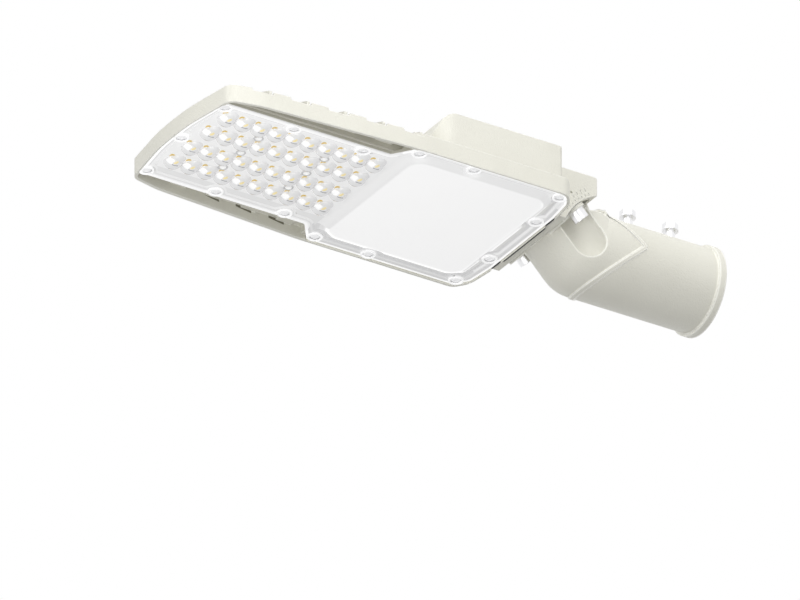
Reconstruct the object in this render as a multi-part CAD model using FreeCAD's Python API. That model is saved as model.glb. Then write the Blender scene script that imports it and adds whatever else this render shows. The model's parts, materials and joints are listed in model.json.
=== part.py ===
# Tilting LED street light head with a spigot for a 60 mm pole, in millimetres.
# Origin: centre of the spigot's bore at its mouth. +X points out of the mouth,
# towards the pole, +Z is up, and the light shines down along -Z.
# The head lies along -X and is mirrored about the plane Y = 0.
import FreeCAD
import Part
import math
import os

os.makedirs("parts", exist_ok=True)
Vec = FreeCAD.Vector
UP = Vec(0, 0, 1)
ALONG_X = Vec(1, 0, 0)
ALONG_Y = Vec(0, 1, 0)

# Pole spigot
pole_dia = 60.0
pole_clearance = 1.0
bore_r = pole_dia / 2 + pole_clearance
spigot_wall = 4.0
tube_r = bore_r + spigot_wall
pole_depth = 80.0
collar_step = 2.3
collar_len = 6.0
elbow_x = -112.0
elbow_lean = 133.8
cast_rib_w = 3.4
cast_rib_h = 1.0

# Tilt joint: the head's saddle turns about a virtual axis along Y
pivot_x = -107.7
pivot_z = -25.0
saddle_r = 53.5
joint_gap = 0.3
saddle_wall = 5.5
tilt_up = 15.0
tilt_down = 13.0
elbow_top_angle = 86.0
shoulder_y = 23.0
shoulder_end_angle = 112.0
shoulder_drop = 5.5
seat_shell = 3.2
lug_r = 8.4
lug_angles = (124.0, 152.0)
scoop_r = 17.0
scoop_end = 26.0
hollow_bend_r = 20.0
cable_slot_angle = 10.0
cable_slot_half_w = 12.0
spot_clearance = 0.5

# Clamp bolts
clamp_y = 40.0
clamp_angle = 133.5
clamp_r = 4.0
clamp_head_r = 6.5
clamp_head_h = 8.0
clamp_hex_flat = 6.0
clamp_washer_r = 7.5
clamp_washer_t = 1.2
clamp_spot = 0.6
clamp_len = 18.0
clamp_nut_flat = 13.0
clamp_nut_h = 6.5
slot_clearance = 0.4
nut_clearance = 0.3

# Set bolts that grip the pole
set_bolt_xs = (-68.8, -29.4)
set_bolt_r = 4.0
set_bolt_flat = 11.0
set_bolt_head_h = 6.0
set_bolt_stand = 11.3
set_bolt_flange_r = 6.6
set_bolt_flange_h = 1.2
thread_clearance = 0.05
hole_clearance = 0.3

# Head outline, seen from above
head_front = -490.2
head_rear = -165.6
head_half_w = 86.0
wide = head_half_w + 10.0
past = 10.0
front_half_w = 76.0
taper_front = (-456.0, 78.0)
taper_rear = (-322.0, 85.8)
box_front = -302.0
box_rear = -181.0
box_shoulder = -288.0
box_top = 35.6
box_draft = 1.0
wall = 3.0
rim_low = -7.5
rim_top = 7.7
rim_wall = 2.6
led_rear = -316.0
led_half_w = 66.4
skin_top = 5.0
skin_t = 2.0

# Scalloped edge and fins over the LED section
scallop_count = 5
scallop_first = -463.9
scallop_pitch = 33.7
scallop_len = 19.0
scallop_depth = 2.4
fin_t = 2.4
fin_gap = 1.4
fin_peak = 21.0
fin_edge_rise = 0.9
fin_slope = 0.39
fins_per_pitch = 3
fins_ahead = 2
fin_side_step = 13.0
fin_side_lift = 3.0
web_drop = 1.5
pocket_shift = 2.0
pocket_len = 14.0
pocket_w = 3.0
pocket_d = 1.4

# Saddle block
block_half_w = 49.5
block_rear = -128.0
block_top = 40.8
lip_x = -156.0
lip_drop = 1.4
lip_gap_w = 0.9
lip_gap_d = 2.5
lip_step_y = 28.0

# Tilt scale on the block's sides: rows of (inner edge, outer edge, first angle, step, count)
scale_rows = ((1.6, 3.4, 120.0, 4.0, 8), (5.2, 8.0, 121.5, 4.4, 4))
scale_line_w = 0.7
scale_depth = 0.4
dimple_r = 1.2
dimple_place = (10.0, 134.0)
dimple_depth = 1.6
cable_hole_r = 8.0
cable_hole_z = 15.0

# Cover: one clear moulding with lenses and a frosted panel
cover_plane = -6.2
flange_t = 3.2
seat_gap = 0.4
cover_gap = 0.5
cover_led_half_w = 64.5
cover_step_rear = -314.0
cover_step_front = -328.0
cover_half_w = 84.0
cover_front = -488.6
cover_rear = -166.2
groove_inset = 3.2
groove_w = 2.6
groove_d = 1.1
field_inset = 9.5
field_d = 1.4
panel_front = -308.0
panel_rear = cover_rear - 17.8
panel_half_w = cover_half_w - 16.0
panel_drop = 1.3
moat_w = 11.0
moat_d = 2.0

# Lens array
lens_cols = 10
lens_first_x = -467.0
lens_pitch = 15.2
lens_rows = (-39.5, -13.8, 13.8, 39.5)
lens_r = 7.6
lens_h = 6.6
lens_root = 0.5
lens_profile = ((1.0, 0.0), (0.84, 0.55), (0.45, 1.0))
chip_size = 5.0
chip_t = 0.8
board_t = 1.6
board_half_w = 48.0
board_front = -470.8
board_rear = -322.0
board_clearance = 0.8
board_screw_xs = (-429.0, -368.2)
board_screw_ys = (-26.5, 0.0, 26.5)
board_screw_r = 1.5
board_screw_head_r = 3.0
board_screw_head_h = 1.2
board_screw_grip = 2.5
board_screw_hole = 3.0

# Cover screws in round bosses
cover_screw_r = 2.0
cover_screw_head_r = 3.9
cover_screw_head_h = 2.2
cover_screw_len = 9.0
cover_hole_spare = 0.5
cover_screw_bite = 0.5
cover_boss_r = 6.3
cover_boss_drop = 0.9
cover_boss_bore_r = 4.7
cover_boss_seat = 1.6
led_screw_xs = (-478.0, -414.0, -350.0)
led_screw_y = cover_led_half_w - 6.1
front_screw_x = cover_front + 6.6
bay_screws = (
    (-310.0, cover_half_w - 6.5),
    (-260.0, cover_half_w - 5.4),
    (cover_rear - 13.3, cover_half_w - 6.8),
    (cover_rear - 8.8, 34.5),
)

# Gasket
gasket_inset = 11.2
gasket_w = 2.2
gasket_depth = 2.0
gasket_clearance = 0.1

# Contents of the driver bay, all hung from its roof
driver_front_gap = 15.0
driver_rear_gap = 3.0
driver_side_gap = 8.0
driver_clamp_gap = 4.0
driver_floor_gap = 0.9
driver_ear = 8.0
driver_ear_w = 16.0
driver_ear_t = 2.0
roof_screw_r = 1.9
roof_screw_head_r = 3.4
roof_screw_head_h = 2.4
roof_screw_grip = 1.7
roof_hole_depth = 2.2
clamp_bar_x = -198.0
clamp_bar_size = (8.0, 16.0, 3.0)
clamp_foot = (22.0, 16.0, 2.5)
clamp_leg_t = 2.8
earth_screw_place = (-223.0, 14.0)
earth_tag_t = 1.0
surge_size = (44.0, 34.0, 20.0)
surge_edge = 25.0
surge_front_gap = 12.0
terminal_size = (18.0, 46.0, 16.0)
terminal_edge = 15.0
terminal_rear_gap = 12.0
terminal_ways = 5
gland_r = 11.0
gland_bore_r = 4.2

# Sides of what repeats many times and is drawn plainly
repeat_sides = 10

# Heights that follow from the cover
flange_top = cover_plane + flange_t
seat_z = flange_top + seat_gap
board_z = 0.0
bay_roof = box_top - wall
bay_half_w = head_half_w - box_draft - wall
driver_x = (box_shoulder + driver_front_gap, box_rear - wall - driver_rear_gap)
driver_y = (driver_side_gap - bay_half_w, -clamp_foot[1] / 2 - driver_clamp_gap)
driver_low = rim_top + driver_floor_gap
surge_centre = (
    box_shoulder + surge_front_gap + surge_size[0] / 2,
    bay_half_w - surge_edge - surge_size[1] / 2,
)
terminal_centre = (
    box_rear - wall - terminal_rear_gap - terminal_size[0] / 2,
    bay_half_w - terminal_edge - terminal_size[1] / 2,
)
lens_xs = [lens_first_x + i * lens_pitch for i in range(lens_cols)]


def rounded_wire(points, z=0.0):
    """Closed wire in the XY plane from (x, y, radius) corners, with tangent arcs."""
    count = len(points)
    starts = []
    ends = []
    mids = []
    for i in range(count):
        x, y, radius = points[i]
        before = Vec(*points[i - 1][:2], 0) - Vec(x, y, 0)
        after = Vec(*points[(i + 1) % count][:2], 0) - Vec(x, y, 0)
        before.normalize()
        after.normalize()
        corner = Vec(x, y, z)
        half = before.getAngle(after) / 2
        if radius <= 0 or abs(half - math.pi / 2) < 1e-6:
            starts.append(corner)
            ends.append(corner)
            mids.append(None)
            continue
        reach = radius / math.tan(half)
        inward = before + after
        inward.normalize()
        starts.append(corner + before * reach)
        ends.append(corner + after * reach)
        mids.append(corner + inward * (radius / math.sin(half) - radius))
    edges = []
    for i in range(count):
        if mids[i] is not None:
            edges.append(Part.Arc(starts[i], mids[i], ends[i]).toShape())
        following = starts[(i + 1) % count]
        if ends[i].distanceToPoint(following) > 1e-6:
            edges.append(Part.LineSegment(ends[i], following).toShape())
    return Part.Wire(edges)


def rounded_face(points, z=0.0):
    return Part.Face(rounded_wire(points, z))


def prism(points, low, high):
    """Upright solid on an outline of (x, y, radius) corners."""
    return rounded_face(points, low).extrude(UP * (high - low))


def side_prism(points, y_low, y_high):
    """Solid on an outline of (x, z, radius) corners, run along Y."""
    solid = prism(points, 0, y_high - y_low)
    solid.rotate(Vec(0, 0, 0), ALONG_X, 90)
    solid.translate(Vec(0, y_high, 0))
    return solid


def mirrored(half):
    """Both halves of an outline whose first and last corners lie on Y = 0."""
    far = [(x, -y, radius) for x, y, radius in reversed(half) if y > 0]
    return half + far


def box(x_range, y_range, z_range):
    size = [r[1] - r[0] for r in (x_range, y_range, z_range)]
    return Part.makeBox(*size, Vec(x_range[0], y_range[0], z_range[0]))


def rod(radius, length, start, direction=UP):
    return Part.makeCylinder(radius, length, start, direction)


def plain_rod(radius, length, start, top_radius=None):
    """Upright bar with few flat sides, for what repeats many times; its top may taper."""
    rings = []
    for r, z in ((radius, 0.0), (radius if top_radius is None else top_radius, length)):
        rings.append([])
        for i in range(repeat_sides):
            angle = 2 * math.pi * i / repeat_sides
            rings[-1].append(start + Vec(r * math.cos(angle), r * math.sin(angle), z))
    low, high = rings
    if top_radius is None:
        return flat_face(low).extrude(UP * length)
    faces = [flat_face(low), flat_face(high)]
    for i in range(repeat_sides):
        faces.append(flat_face([low[i - 1], low[i], high[i], high[i - 1]]))
    shell = Part.makeShell(faces)
    shell.sewShape()
    return Part.makeSolid(shell)


def flat_face(points):
    """Flat face with straight sides between the given corners."""
    return Part.Face(Part.makePolygon(points + points[:1]))


def hexagon(flat, height, start, direction=UP, turn=0.0):
    """Six-sided prism, flat to flat across, with one flat facing X before the turn."""
    corner = flat / 2 / math.cos(math.radians(30))
    points = []
    for i in range(7):
        angle = math.radians(60 * i + 30 + turn)
        points.append(Vec(corner * math.cos(angle), corner * math.sin(angle), 0))
    solid = Part.Face(Part.makePolygon(points)).extrude(UP * height)
    solid.Placement = FreeCAD.Placement(start, FreeCAD.Rotation(UP, direction))
    return solid


def inset(face, distance):
    return face.makeOffset2D(-distance)


def ring(face, outer_inset, width, low, height):
    """Band that follows an outline, between two insets."""
    outer = inset(face, outer_inset) if outer_inset > 0 else face
    band = outer.extrude(UP * height).cut(inset(face, outer_inset + width).extrude(UP * height))
    band.translate(Vec(0, 0, low))
    return band


def polar(radius, angle):
    """Point in the plane Y = 0, by its distance and angle from the tilt axis."""
    a = math.radians(angle)
    return pivot_x + radius * math.cos(a), pivot_z + radius * math.sin(a)


def radial(angle):
    a = math.radians(angle)
    return Vec(math.cos(a), 0, math.sin(a))


def sector(r_low, r_high, angle_low, angle_high, y_low, y_high):
    """Curved block about the tilt axis, between two radii and two angles."""
    middle = (angle_low + angle_high) / 2

    def at(radius, angle):
        x, z = polar(radius, angle)
        return Vec(x, y_low, z)

    edges = [
        Part.Arc(at(r_low, angle_low), at(r_low, middle), at(r_low, angle_high)).toShape(),
        Part.LineSegment(at(r_low, angle_high), at(r_high, angle_high)).toShape(),
        Part.Arc(at(r_high, angle_high), at(r_high, middle), at(r_high, angle_low)).toShape(),
        Part.LineSegment(at(r_high, angle_low), at(r_low, angle_low)).toShape(),
    ]
    return Part.Face(Part.Wire(edges)).extrude(ALONG_Y * (y_high - y_low))


def both_sides(make):
    """A feature on the +Y side and its mirror image, as one list."""
    solid = make()
    return [solid, solid.mirror(Vec(0, 0, 0), ALONG_Y)]


def screw_places():
    """Every cover screw's place, front to rear on both sides."""
    half = [(x, led_screw_y) for x in led_screw_xs] + list(bay_screws)
    places = [(front_screw_x, 0.0)]
    for x, y in half:
        places += [(x, y), (x, -y)]
    return places


def head_outline():
    """Outer edge of the whole head: bowed nose, tapering LED section, square rear."""
    return mirrored([
        (head_front, 0.0, 0.0),
        (head_front + 0.6, 24.0, 150.0),
        (head_front + 7.6, front_half_w - 4.0, 9.0),
        (*taper_front, 60.0),
        (*taper_rear, 200.0),
        (head_rear - 12.0, head_half_w, 9.0),
        (head_rear - 4.0, head_half_w - 10.0, 10.0),
        (head_rear, block_half_w, 2.0),
        (head_rear, 0.0, 0.0),
    ])


def cover_outline():
    """Outer edge of the cover: narrow over the LEDs, wide over the driver bay."""
    return mirrored([
        (cover_front, 0.0, 0.0),
        (cover_front + 0.4, 22.0, 120.0),
        (cover_front + 6.8, cover_led_half_w, 5.0),
        (cover_step_front, cover_led_half_w, 4.0),
        (cover_step_rear, cover_half_w, 3.0),
        (cover_rear - 12.8, cover_half_w, 9.0),
        (cover_rear - 3.0, cover_half_w - 12.0, 12.0),
        (cover_rear, 46.0, 2.0),
        (cover_rear, 0.0, 0.0),
    ])


def led_outline(half_w):
    """Outline of the LED section's own plate behind the cover."""
    return mirrored([
        (head_front + rim_wall, 0.0, 0.0),
        (head_front + rim_wall + 0.6, 22.0, 120.0),
        (head_front + rim_wall + 7.0, half_w, 4.0),
        (led_rear, half_w, 1.0),
        (led_rear, 0.0, 0.0),
    ])


def bay_solid(gap):
    """The driver box's form, or its hollow when a wall gap is given."""
    side = [
        (box_front + gap, rim_low + gap, 0.0),
        (box_rear - gap, rim_low + gap, 0.0),
        (box_rear - gap, box_top - gap, 2.0),
        (box_shoulder + gap, box_top - gap, 14.0 - gap),
        (box_front + gap, rim_top, 6.0),
    ]
    half_w = head_half_w - box_draft - gap
    body = side_prism(side, -half_w, half_w)
    plan = [
        (box_front + gap, -half_w, 22.0 - gap),
        (box_rear - gap, -half_w, 4.0),
        (box_rear - gap, half_w, 4.0),
        (box_front + gap, half_w, 22.0 - gap),
    ]
    return body.common(prism(plan, rim_low, box_top))


def rim_ring():
    """Upright wall round the whole head, scalloped over the LED section."""
    face = rounded_face(head_outline())
    wall_ring = ring(face, 0.0, rim_wall, rim_low, rim_top - rim_low)
    cuts = []
    for i in range(scallop_count):
        x0 = scallop_first + i * scallop_pitch
        x1 = x0 + scallop_len
        notch = [
            (x0, rim_top - scallop_depth, 2.0),
            (x1, rim_top - scallop_depth, 2.0),
            (x1, rim_top + 5.0, 0.0),
            (x0, rim_top + 5.0, 0.0),
        ]
        cuts.append(side_prism(notch, -head_half_w - 2.0, head_half_w + 2.0))
    return wall_ring.cut(cuts)


def rim_half_w(x):
    """Half the head's width at a place along the tapering LED section."""
    share = (x - taper_front[0]) / (taper_rear[0] - taper_front[0])
    return taper_front[1] + share * (taper_rear[1] - taper_front[1])


def cross_fin(x, main):
    """One fin; the main ones reach the rim and the others stop short of it."""
    edge_y = rim_half_w(x) if main else rim_half_w(x) - fin_side_step
    start_z = rim_top + fin_edge_rise + (0.0 if main else fin_side_lift)
    crown_y = edge_y - (fin_peak - start_z) / fin_slope
    half = [
        Vec(x, edge_y, skin_top - skin_t / 2),
        Vec(x, edge_y, start_z),
        Vec(x, crown_y, fin_peak),
    ]
    far = [Vec(p.x, -p.y, p.z) for p in reversed(half)]
    profile = Part.makePolygon(half + far + half[:1])
    return Part.Face(profile).extrude(ALONG_X * fin_t)


def cross_fins():
    """Cooling fins across the LED section, rising from the rim to a flat crown."""
    inside = inset(rounded_face(head_outline()), rim_wall / 2).extrude(UP * (fin_peak + 1))
    step = scallop_pitch / fins_per_pitch
    first = scallop_first + scallop_len - fin_t - fin_gap
    fins = []
    for i in range(-fins_ahead, scallop_count * fins_per_pitch):
        x = first + i * step
        if x + fin_t < box_front - fin_gap:
            fins.append(cross_fin(x, i % fins_per_pitch == 0).common(inside))
    return fins


def led_section():
    """Heat spreader behind the LEDs, with the skin and webs that join it to the rim."""
    skin_face = inset(rounded_face(head_outline()), rim_wall / 2)
    skin = skin_face.extrude(UP * skin_t)
    skin.translate(Vec(0, 0, skin_top - skin_t))
    plate = prism(led_outline(led_half_w), seat_z, skin_top)
    webs = []
    for i in range(scallop_count):
        x1 = scallop_first + i * scallop_pitch
        x0 = x1 - (scallop_pitch - scallop_len)
        web = box((x0, x1), (-head_half_w, head_half_w), (skin_top - skin_t - web_drop, skin_top))
        webs.append(web.common(skin_face.extrude(UP * rim_top)))
    return [skin, plate] + webs


def bay_ledge():
    """Seat for the cover round the driver bay."""
    face = inset(rounded_face(head_outline()), rim_wall / 2)
    slab = face.extrude(UP * (rim_top - seat_z))
    slab.translate(Vec(0, 0, seat_z))
    front = box((cover_step_rear - 5.0, head_rear + 1.0), (-wide, wide), (seat_z, rim_top))
    return slab.common(front)


def bay_opening():
    """Way into the driver bay from below, inside the ledge."""
    corners = [
        (box_front + wall, -panel_half_w, 6.0),
        (panel_rear, -panel_half_w, 6.0),
        (panel_rear, panel_half_w, 6.0),
        (box_front + wall, panel_half_w, 6.0),
    ]
    return prism(corners, rim_low, rim_top + 1.0)


def saddle_block():
    """Block behind the driver bay, with the concave face that the spigot clamps to."""
    side = [
        (box_rear - wall, seat_z, 0.0),
        (head_rear, seat_z, 0.0),
        (head_rear, seat_z - lip_drop, 0.0),
        (lip_x, seat_z - lip_drop, 0.0),
        (block_rear, pivot_z + saddle_r / 2, 0.0),
        (block_rear, block_top, 2.0),
        (box_rear - wall, block_top, 4.0),
    ]
    body = side_prism(side, -block_half_w, block_half_w)
    bowl = rod(saddle_r, 2 * block_half_w + 2, Vec(pivot_x, -block_half_w - 1, pivot_z), ALONG_Y)
    return body.cut(bowl)


def lip_gap():
    """Stepped dark gap between the cover's rear edge and the lip."""
    low = seat_z - lip_drop - 1.0
    high = seat_z - lip_drop + lip_gap_d
    middle = (cover_rear, cover_rear + cover_gap + lip_gap_w)
    side = (middle[1], middle[1] + lip_gap_w)
    return [
        box(middle, (-lip_step_y, lip_step_y), (low, high)),
        box(side, (-block_half_w + lip_gap_w, lip_gap_w - lip_step_y), (low, high)),
        box(side, (lip_step_y - lip_gap_w, block_half_w - lip_gap_w), (low, high)),
    ]


def edge_pockets():
    """Short dark pockets in the skin beside the LED plate, one at each scallop."""
    pockets = []
    for i in range(scallop_count):
        x0 = scallop_first + i * scallop_pitch + pocket_shift
        for side in (-1, 1):
            ys = sorted((side * led_half_w, side * (led_half_w + pocket_w)))
            zs = (skin_top - skin_t - 1.0, skin_top - skin_t + pocket_d)
            pockets.append(box((x0, x0 + pocket_len), ys, zs))
    return pockets


def clamp_slots():
    """Slots that the clamp bolts slide along, with the track that holds their nuts."""
    half_slot = clamp_r + slot_clearance
    end = math.degrees(half_slot / saddle_r)
    nut_end = math.degrees((clamp_nut_flat / 2 / math.cos(math.radians(30)) + nut_clearance) / saddle_r)
    low = clamp_angle - tilt_down
    high = clamp_angle + tilt_up
    track_w = clamp_nut_flat / 2 + nut_clearance
    track_r = saddle_r + saddle_wall

    def slot():
        return sector(saddle_r - 1, track_r + 1, low - end, high + end,
                      clamp_y - half_slot, clamp_y + half_slot)

    def track():
        return sector(track_r, saddle_r + clamp_len, low - nut_end, high + 40,
                      clamp_y - track_w, clamp_y + track_w)

    return both_sides(slot) + both_sides(track)


def tilt_scale():
    """Engraved lines on the block's sides that show the tilt, with a dimple beside them."""
    cuts = []
    half = math.degrees(scale_line_w / 2 / saddle_r)
    for low, high, first, step, count in scale_rows:
        for i in range(count):
            angle = first + i * step

            def line():
                return sector(saddle_r + low, saddle_r + high, angle - half, angle + half,
                              block_half_w - scale_depth, block_half_w + 1.0)

            cuts += both_sides(line)
    x, z = polar(saddle_r + dimple_place[0], dimple_place[1])

    def dimple():
        return rod(dimple_r, dimple_depth + 1.0, Vec(x, block_half_w - dimple_depth, z), ALONG_Y)

    return cuts + both_sides(dimple)


def cable_way():
    """Path for the supply cable from the saddle into the driver bay."""
    mouth = sector(saddle_r - 1, saddle_r + saddle_wall + 4, clamp_angle - tilt_down,
                   clamp_angle + tilt_up, -cable_hole_r, cable_hole_r)
    hole = rod(cable_hole_r, 45.0, Vec(box_rear - wall - 1.0, 0, cable_hole_z), ALONG_X)
    return [mouth, hole]


def board_pocket():
    """Recess that the LED board lies in."""
    gap = board_clearance
    outline = [
        (board_front - gap, -board_half_w - gap, 3.0),
        (board_rear + gap, -board_half_w - gap, 3.0),
        (board_rear + gap, board_half_w + gap, 3.0),
        (board_front - gap, board_half_w + gap, 3.0),
    ]
    return prism(outline, seat_z - 1.0, board_z)


def gasket_ring(extra=0.0):
    face = rounded_face(cover_outline())
    return ring(face, gasket_inset - extra, gasket_w + 2 * extra, flange_top, seat_gap + gasket_depth)


def driver_ear_places():
    y = (driver_y[0] + driver_y[1]) / 2
    return [(driver_x[0] + driver_ear / 2, y), (driver_x[1] - driver_ear / 2, y)]


def housing():
    parts = [bay_solid(0.0), bay_ledge(), saddle_block()] + led_section() + cross_fins()
    solid = rim_ring().fuse(parts)
    lower = rounded_face(cover_outline()).makeOffset2D(cover_gap)
    solid = solid.cut(lower.extrude(UP * (seat_z - rim_low)).translated(Vec(0, 0, rim_low)))
    cuts = [bay_solid(wall).cut(box((head_front, 0), (-wide, wide), (rim_low - 1, rim_top)))]
    cuts += clamp_slots() + cable_way() + lip_gap() + edge_pockets() + tilt_scale()
    cuts += [bay_opening(), board_pocket(), gasket_ring(gasket_clearance)]
    for x, y in driver_ear_places() + clamp_foot_places() + [earth_screw_place]:
        start = Vec(x, y, bay_roof - 1.0)
        cuts.append(plain_rod(roof_screw_r + thread_clearance, 1.0 + roof_hole_depth, start))
    cuts.append(box((board_rear, box_front + 2 * wall), (-6.0, 6.0), (seat_z - 1.0, board_z)))
    for x, y in screw_places():
        hole_top = cover_plane + cover_boss_seat - cover_screw_bite + cover_screw_len + cover_hole_spare
        cuts.append(plain_rod(cover_screw_r + thread_clearance, hole_top - rim_low, Vec(x, y, rim_low)))
    for x in board_screw_xs:
        for y in board_screw_ys:
            start = Vec(x, y, board_z - 1.0)
            cuts.append(plain_rod(board_screw_r + thread_clearance, 1.0 + board_screw_hole, start))
    return solid.cut(cuts).removeSplitter()


def lens_dome(x, y):
    """Clear dome over one LED, in stacked tapering rounds."""
    base_z = cover_plane + field_d
    dome = plain_rod(lens_r, lens_root, Vec(x, y, base_z))
    for i in range(1, len(lens_profile)):
        wide, above = lens_profile[i - 1]
        narrow, below = lens_profile[i]
        height = lens_h * (below - above)
        low = Vec(x, y, base_z - lens_h * below)
        dome = dome.fuse(plain_rod(lens_r * narrow, height, low, lens_r * wide))
    return dome


def lens_cover():
    face = rounded_face(cover_outline(), cover_plane)
    body = face.extrude(UP * flange_t)
    flat_face = rounded_face(cover_outline())
    groove = ring(flat_face, groove_inset, groove_w, cover_plane, groove_d)
    field = [
        (cover_front + field_inset, -cover_led_half_w + field_inset, 5.0),
        (cover_step_front + 6.0, -cover_led_half_w + field_inset, 5.0),
        (cover_step_front + 6.0, cover_led_half_w - field_inset, 5.0),
        (cover_front + field_inset, cover_led_half_w - field_inset, 5.0),
    ]
    moat_outline = [
        (panel_front - moat_w, -panel_half_w - moat_w, 12.0),
        (panel_rear + moat_w, -panel_half_w - moat_w, 12.0),
        (panel_rear + moat_w, panel_half_w + moat_w, 12.0),
        (panel_front - moat_w, panel_half_w + moat_w, 12.0),
    ]
    body = body.cut([groove, prism(field, cover_plane, cover_plane + field_d),
                     prism(moat_outline, cover_plane, cover_plane + moat_d)])
    panel = prism([
        (panel_front, -panel_half_w, 12.0),
        (panel_rear, -panel_half_w, 12.0),
        (panel_rear, panel_half_w, 12.0),
        (panel_front, panel_half_w, 12.0),
    ], cover_plane - panel_drop, cover_plane + moat_d + 0.5)
    adds = [panel]
    for x, y in screw_places():
        start = Vec(x, y, cover_plane - cover_boss_drop)
        adds.append(plain_rod(cover_boss_r, flange_t + cover_boss_drop, start))
    body = body.fuse(adds)
    body = body.common(face.extrude(UP * 2 * past).translated(Vec(0, 0, -past)))
    body = body.fuse([lens_dome(x, y) for x in lens_xs for y in lens_rows])
    cuts = []
    for x, y in screw_places():
        cuts.append(plain_rod(cover_screw_r + hole_clearance, 2 * past, Vec(x, y, cover_plane - past)))
        cuts.append(plain_rod(cover_boss_bore_r, 10.0, Vec(x, y, cover_plane + cover_boss_seat - 10.0)))
    return body.cut(cuts).removeSplitter()


def cover_screws():
    screws = []
    head_z = cover_plane + cover_boss_seat
    for x, y in screw_places():
        head = plain_rod(cover_screw_head_r, cover_screw_head_h, Vec(x, y, head_z - cover_screw_head_h))
        shank = plain_rod(cover_screw_r, cover_screw_len, Vec(x, y, head_z - cover_screw_bite))
        screws.append(head.fuse(shank))
    return Part.makeCompound(screws)


def led_board():
    plate = prism([
        (board_front, -board_half_w, 3.0),
        (board_rear, -board_half_w, 3.0),
        (board_rear, board_half_w, 3.0),
        (board_front, board_half_w, 3.0),
    ], board_z - board_t, board_z)
    holes = []
    for x in board_screw_xs:
        for y in board_screw_ys:
            start = Vec(x, y, board_z - board_t - 1.0)
            holes.append(plain_rod(board_screw_r + hole_clearance, board_t + 2.0, start))
    return plate.cut(holes)


def led_chips():
    half = chip_size / 2
    low = board_z - board_t - chip_t
    return Part.makeCompound([
        box((x - half, x + half), (y - half, y + half), (low, low + chip_t))
        for x in lens_xs for y in lens_rows
    ])


def board_screws():
    screws = []
    low = board_z - board_t
    for x in board_screw_xs:
        for y in board_screw_ys:
            head = plain_rod(board_screw_head_r, board_screw_head_h, Vec(x, y, low - board_screw_head_h))
            screws.append(head.fuse(plain_rod(board_screw_r, board_t + board_screw_grip, Vec(x, y, low))))
    return Part.makeCompound(screws)


def driver():
    x0, x1 = driver_x[0] + driver_ear, driver_x[1] - driver_ear
    y0, y1 = driver_y
    body = prism([(x0, y0, 3.0), (x1, y0, 3.0), (x1, y1, 3.0), (x0, y1, 3.0)], driver_low, bay_roof)
    middle = (y0 + y1) / 2
    ear_y = (middle - driver_ear_w / 2, middle + driver_ear_w / 2)
    ears = box(driver_x, ear_y, (bay_roof - driver_ear_t, bay_roof))
    return body.fuse(ears).cut(roof_screw_ways(driver_ear_places())).removeSplitter()


def roof_screw_ways(places):
    """Clearance holes through whatever is screwed to the roof at these places."""
    return [plain_rod(roof_screw_r + hole_clearance, 10.0, Vec(x, y, bay_roof - 5.0)) for x, y in places]


def roof_screws(places, plate_t):
    """Pan head screws that hold a plate of this thickness to the roof."""
    screws = []
    low = bay_roof - plate_t
    for x, y in places:
        head = plain_rod(roof_screw_head_r, roof_screw_head_h, Vec(x, y, low - roof_screw_head_h))
        shank = plain_rod(roof_screw_r, plate_t + roof_screw_grip, Vec(x, y, low))
        screws.append(head.fuse(shank))
    return Part.makeCompound(screws)


def clamp_foot_places():
    reach = clamp_foot[0] / 2 - roof_screw_head_r - 0.3
    return [(clamp_bar_x - reach, 0.0), (clamp_bar_x + reach, 0.0)]


def cord_clamp():
    """Strap that holds the supply cable below the roof, behind its gland."""
    foot_l, foot_w, foot_t = clamp_foot
    bar_l, bar_w, bar_t = clamp_bar_size
    bar_x = (clamp_bar_x - bar_l / 2, clamp_bar_x + bar_l / 2)
    bar_top = cable_hole_z - gland_bore_r
    foot_x = (clamp_bar_x - foot_l / 2, clamp_bar_x + foot_l / 2)
    foot = box(foot_x, (-foot_w / 2, foot_w / 2), (bay_roof - foot_t, bay_roof))
    bar = box(bar_x, (-bar_w / 2, bar_w / 2), (bar_top - bar_t, bar_top))
    legs = [
        box(bar_x, (-bar_w / 2, clamp_leg_t - bar_w / 2), (bar_top - bar_t, bay_roof)),
        box(bar_x, (bar_w / 2 - clamp_leg_t, bar_w / 2), (bar_top - bar_t, bay_roof)),
    ]
    return foot.fuse([bar] + legs).cut(roof_screw_ways(clamp_foot_places())).removeSplitter()


def earth_tag():
    """Ring tag under the earth screw, with its crimp barrel."""
    x, y = earth_screw_place
    low = bay_roof - earth_tag_t
    disc = rod(roof_screw_head_r + 0.8, earth_tag_t, Vec(x, y, low))
    tongue = box((x, x + 12.0), (y - 2.0, y + 2.0), (low, bay_roof))
    return disc.fuse(tongue).cut(roof_screw_ways([earth_screw_place])).removeSplitter()


def hung_box(size, centre, radius):
    length, width, height = size
    x, y = centre
    return prism([
        (x - length / 2, y - width / 2, radius),
        (x + length / 2, y - width / 2, radius),
        (x + length / 2, y + width / 2, radius),
        (x - length / 2, y + width / 2, radius),
    ], bay_roof - height, bay_roof)


def surge_protector():
    return hung_box(surge_size, surge_centre, 3.0)


def terminal_block():
    block = hung_box(terminal_size, terminal_centre, 1.0)
    length, width, height = terminal_size
    x, y = terminal_centre
    pitch = width / terminal_ways
    cuts = []
    for i in range(terminal_ways):
        py = y - width / 2 + pitch * (i + 0.5)
        cuts.append(plain_rod(2.2, 8.0, Vec(x, py, bay_roof - height - 1.0)))
        cuts.append(box((x - length, x - length / 2 + 5), (py - 2.6, py + 2.6),
                        (bay_roof - height + 3, bay_roof - height + 8)))
    return block.cut(cuts)


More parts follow.
